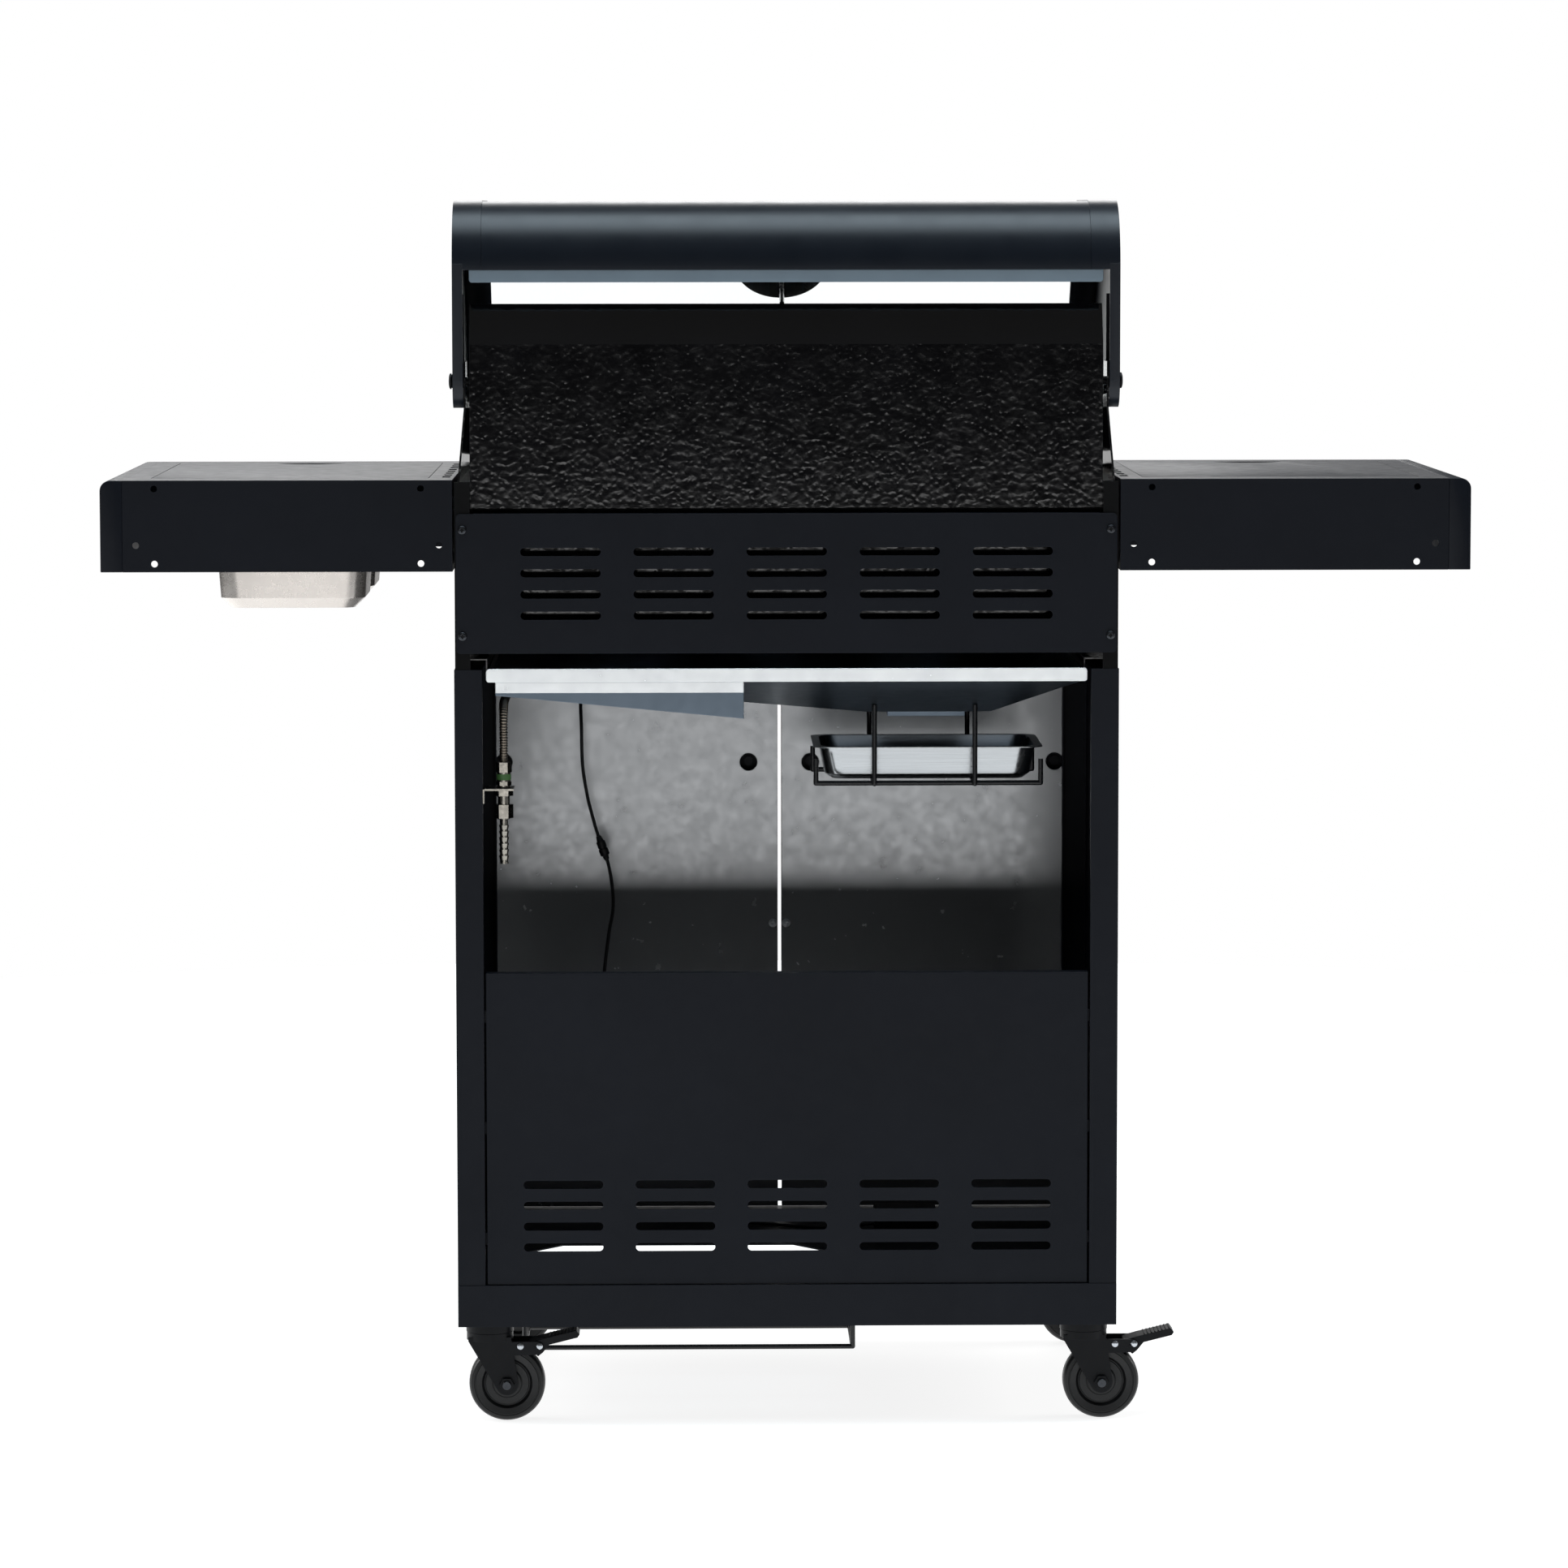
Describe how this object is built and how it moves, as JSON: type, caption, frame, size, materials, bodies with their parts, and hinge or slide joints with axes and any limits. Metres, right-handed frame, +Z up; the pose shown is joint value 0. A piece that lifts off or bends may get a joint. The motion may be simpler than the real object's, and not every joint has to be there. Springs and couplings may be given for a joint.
{
  "type": "gas barbecue grill",
  "caption": "Freestanding gas barbecue with a windowed hood, side shelves with lift-off lids, burners, a grease tray and a doored cabinet on casters.",
  "frame": {"origin": "middle of the footprint at ground level, under the centre of the overall box", "axes": "+Z up, -Y towards the cook (doors and knobs), +Y the rear with the open cabinet back, +X the cook's right"},
  "size_m": [1.333, 0.54, 1.202],
  "materials": {
    "powder_black": "satin, fine texture powder coat",
    "hood_charcoal": "satin, very fine texture",
    "enamel_black": "gloss vitreous enamel with slight orange peel",
    "galvanised": "bright sheet, soft spangle",
    "stainless": "satin drawn stainless steel",
    "zinc": "zinc plated",
    "nickel": "nickel plated brass",
    "brass": "turned brass",
    "cast_iron": "matt enamelled cast iron",
    "black_wire": "satin black coat",
    "black_plastic": "satin moulded plastic",
    "caster_black": "semi-gloss black",
    "wheel_black": "matt, turned grooves",
    "lead_black": "soft PVC sheath",
    "glass": "clear tempered glass",
    "handle_metal": "brushed tube"
  },
  "bodies": {
    "body": {"base_pan": "powder_black", "side_panel_left": "powder_black", "side_panel_right": "powder_black", "lower_rear_panel": "powder_black", "front_header": "powder_black", "bottle_wire": "black_wire", "caster_stems": "zinc", "fasteners": "caster_black", "firebox": "enamel_black", "back_wall": "enamel_black", "rear_vent_panel": "powder_black", "firebox_ends": "enamel_black", "burners": "stainless", "flame_tamers": "stainless", "warming_rack": "stainless", "control_panel": "powder_black", "gas_manifold": "brass", "gas_hose": "stainless", "gas_inlet": "nickel", "supply_lead": "lead_black", "lead_connector": "black_plastic", "battery_box": "black_plastic", "shelf_left": "powder_black", "shelf_right": "powder_black", "shelf_end_caps": "powder_black"},
    "hood": {"hood_shell": "hood_charcoal", "hood_ends": "hood_charcoal", "hood_glass": "glass", "thermometer": "stainless", "hood_handle": "handle_metal"},
    "left_door": {"door_left": "powder_black"},
    "right_door": {"door_right": "powder_black"},
    "grates": {"cooking_grates": "cast_iron"},
    "left_lid": {"shelf_left_lid": "powder_black"},
    "right_lid": {"shelf_right_lid": "powder_black"},
    "rear_pan": {"food_pan_rear": "stainless"},
    "front_pan": {"food_pan_front": "stainless"},
    "tray": {"grease_tray": "galvanised", "bottle_heat_shield": "galvanised", "pan_holder": "black_wire"},
    "drip_pan": {"catch_pan": "stainless"},
    "valve_1": {"valve_stem_1": "brass"},
    "control_1": {"knob_1": "black_plastic"},
    "valve_2": {"valve_stem_2": "brass"},
    "control_2": {"knob_2": "black_plastic"},
    "valve_3": {"valve_stem_3": "brass"},
    "control_3": {"knob_3": "black_plastic"},
    "valve_4": {"valve_stem_4": "brass"},
    "control_4": {"knob_4": "black_plastic"},
    "caster_rear_left": {"fork_rear_left": "caster_black"},
    "roller_rear_left": {"wheel_rear_left": "wheel_black"},
    "caster_rear_right": {"fork_rear_right": "caster_black"},
    "roller_rear_right": {"wheel_rear_right": "wheel_black"},
    "caster_front_left": {"fork_front_left": "caster_black"},
    "roller_front_left": {"wheel_front_left": "wheel_black"},
    "caster_front_right": {"fork_front_right": "caster_black"},
    "roller_front_right": {"wheel_front_right": "wheel_black"},
    "brake_rear_left": {"pedal_rear_left": "caster_black"},
    "brake_rear_right": {"pedal_rear_right": "caster_black"}
  },
  "joints": [
    {"name": "hood_open", "type": "hinge", "parent": "body", "child": "hood", "pos_m": [0, 0.2375, 1.027], "axis": [-1, 0, 0], "range_deg": [0, 85]},
    {"name": "left_door_open", "type": "hinge", "parent": "body", "child": "left_door", "pos_m": [-0.317, -0.1965, 0.44], "axis": [0, 0, -1], "range_deg": [0, 110]},
    {"name": "right_door_open", "type": "hinge", "parent": "body", "child": "right_door", "pos_m": [0.317, -0.1965, 0.44], "axis": [0, 0, 1], "range_deg": [0, 110]},
    {"name": "grates_lift", "type": "slide", "parent": "body", "child": "grates", "axis": [0, 0, 1], "range_m": [0, 0.08]},
    {"name": "left_lid_lift", "type": "slide", "parent": "body", "child": "left_lid", "axis": [0, 0, 1], "range_m": [0, 0.03]},
    {"name": "right_lid_lift", "type": "slide", "parent": "body", "child": "right_lid", "axis": [0, 0, 1], "range_m": [0, 0.03]},
    {"name": "rear_pan_lift", "type": "slide", "parent": "body", "child": "rear_pan", "axis": [0, 0, 1], "range_m": [0, 0.01]},
    {"name": "front_pan_lift", "type": "slide", "parent": "body", "child": "front_pan", "axis": [0, 0, 1], "range_m": [0, 0.01]},
    {"name": "tray_pull", "type": "slide", "parent": "body", "child": "tray", "axis": [0, 1, 0], "range_m": [0, 0.34]},
    {"name": "drip_pan_lift", "type": "slide", "parent": "tray", "child": "drip_pan", "axis": [0, 0, 1], "range_m": [0, 0.024]},
    {"name": "knob_1_push", "type": "slide", "parent": "body", "child": "valve_1", "axis": [0, 1, 0], "range_m": [0, 0.003], "stiffness_N_per_m": 900, "springref_m": -0.001},
    {"name": "knob_1_turn", "type": "hinge", "parent": "valve_1", "child": "control_1", "pos_m": [-0.225, -0.2325, 0.83], "axis": [0, -1, 0], "range_deg": [0, 180]},
    {"name": "knob_2_push", "type": "slide", "parent": "body", "child": "valve_2", "axis": [0, 1, 0], "range_m": [0, 0.003], "stiffness_N_per_m": 900, "springref_m": -0.001},
    {"name": "knob_2_turn", "type": "hinge", "parent": "valve_2", "child": "control_2", "pos_m": [-0.075, -0.2325, 0.83], "axis": [0, -1, 0], "range_deg": [0, 180]},
    {"name": "knob_3_push", "type": "slide", "parent": "body", "child": "valve_3", "axis": [0, 1, 0], "range_m": [0, 0.003], "stiffness_N_per_m": 900, "springref_m": -0.001},
    {"name": "knob_3_turn", "type": "hinge", "parent": "valve_3", "child": "control_3", "pos_m": [0.075, -0.2325, 0.83], "axis": [0, -1, 0], "range_deg": [0, 180]},
    {"name": "knob_4_push", "type": "slide", "parent": "body", "child": "valve_4", "axis": [0, 1, 0], "range_m": [0, 0.003], "stiffness_N_per_m": 900, "springref_m": -0.001},
    {"name": "knob_4_turn", "type": "hinge", "parent": "valve_4", "child": "control_4", "pos_m": [0.225, -0.2325, 0.83], "axis": [0, -1, 0], "range_deg": [0, 180]},
    {"name": "rear_left_swivel", "type": "hinge", "parent": "body", "child": "caster_rear_left", "pos_m": [-0.294, 0.2295, 0.085], "axis": [0, 0, 1], "continuous": true},
    {"name": "rear_left_roll", "type": "hinge", "parent": "caster_rear_left", "child": "roller_rear_left", "pos_m": [-0.311, 0.2295, 0.0375], "axis": [0, 1, 0], "continuous": true},
    {"name": "rear_right_swivel", "type": "hinge", "parent": "body", "child": "caster_rear_right", "pos_m": [0.294, 0.2295, 0.085], "axis": [0, 0, 1], "continuous": true},
    {"name": "rear_right_roll", "type": "hinge", "parent": "caster_rear_right", "child": "roller_rear_right", "pos_m": [0.277, 0.2295, 0.0375], "axis": [0, 1, 0], "continuous": true},
    {"name": "front_left_swivel", "type": "hinge", "parent": "body", "child": "caster_front_left", "pos_m": [-0.294, -0.1625, 0.085], "axis": [0, 0, 1], "continuous": true},
    {"name": "front_left_roll", "type": "hinge", "parent": "caster_front_left", "child": "roller_front_left", "pos_m": [-0.311, -0.1625, 0.0375], "axis": [0, 1, 0], "continuous": true},
    {"name": "front_right_swivel", "type": "hinge", "parent": "body", "child": "caster_front_right", "pos_m": [0.294, -0.1625, 0.085], "axis": [0, 0, 1], "continuous": true},
    {"name": "front_right_roll", "type": "hinge", "parent": "caster_front_right", "child": "roller_front_right", "pos_m": [0.277, -0.1625, 0.0375], "axis": [0, 1, 0], "continuous": true},
    {"name": "rear_left_brake", "type": "hinge", "parent": "caster_rear_left", "child": "brake_rear_left", "pos_m": [-0.3408, 0.2295, 0.0735], "axis": [0, -1, 0], "range_deg": [0, 14]},
    {"name": "rear_right_brake", "type": "hinge", "parent": "caster_rear_right", "child": "brake_rear_right", "pos_m": [0.2472, 0.2295, 0.0735], "axis": [0, -1, 0], "range_deg": [0, 14]}
  ]
}
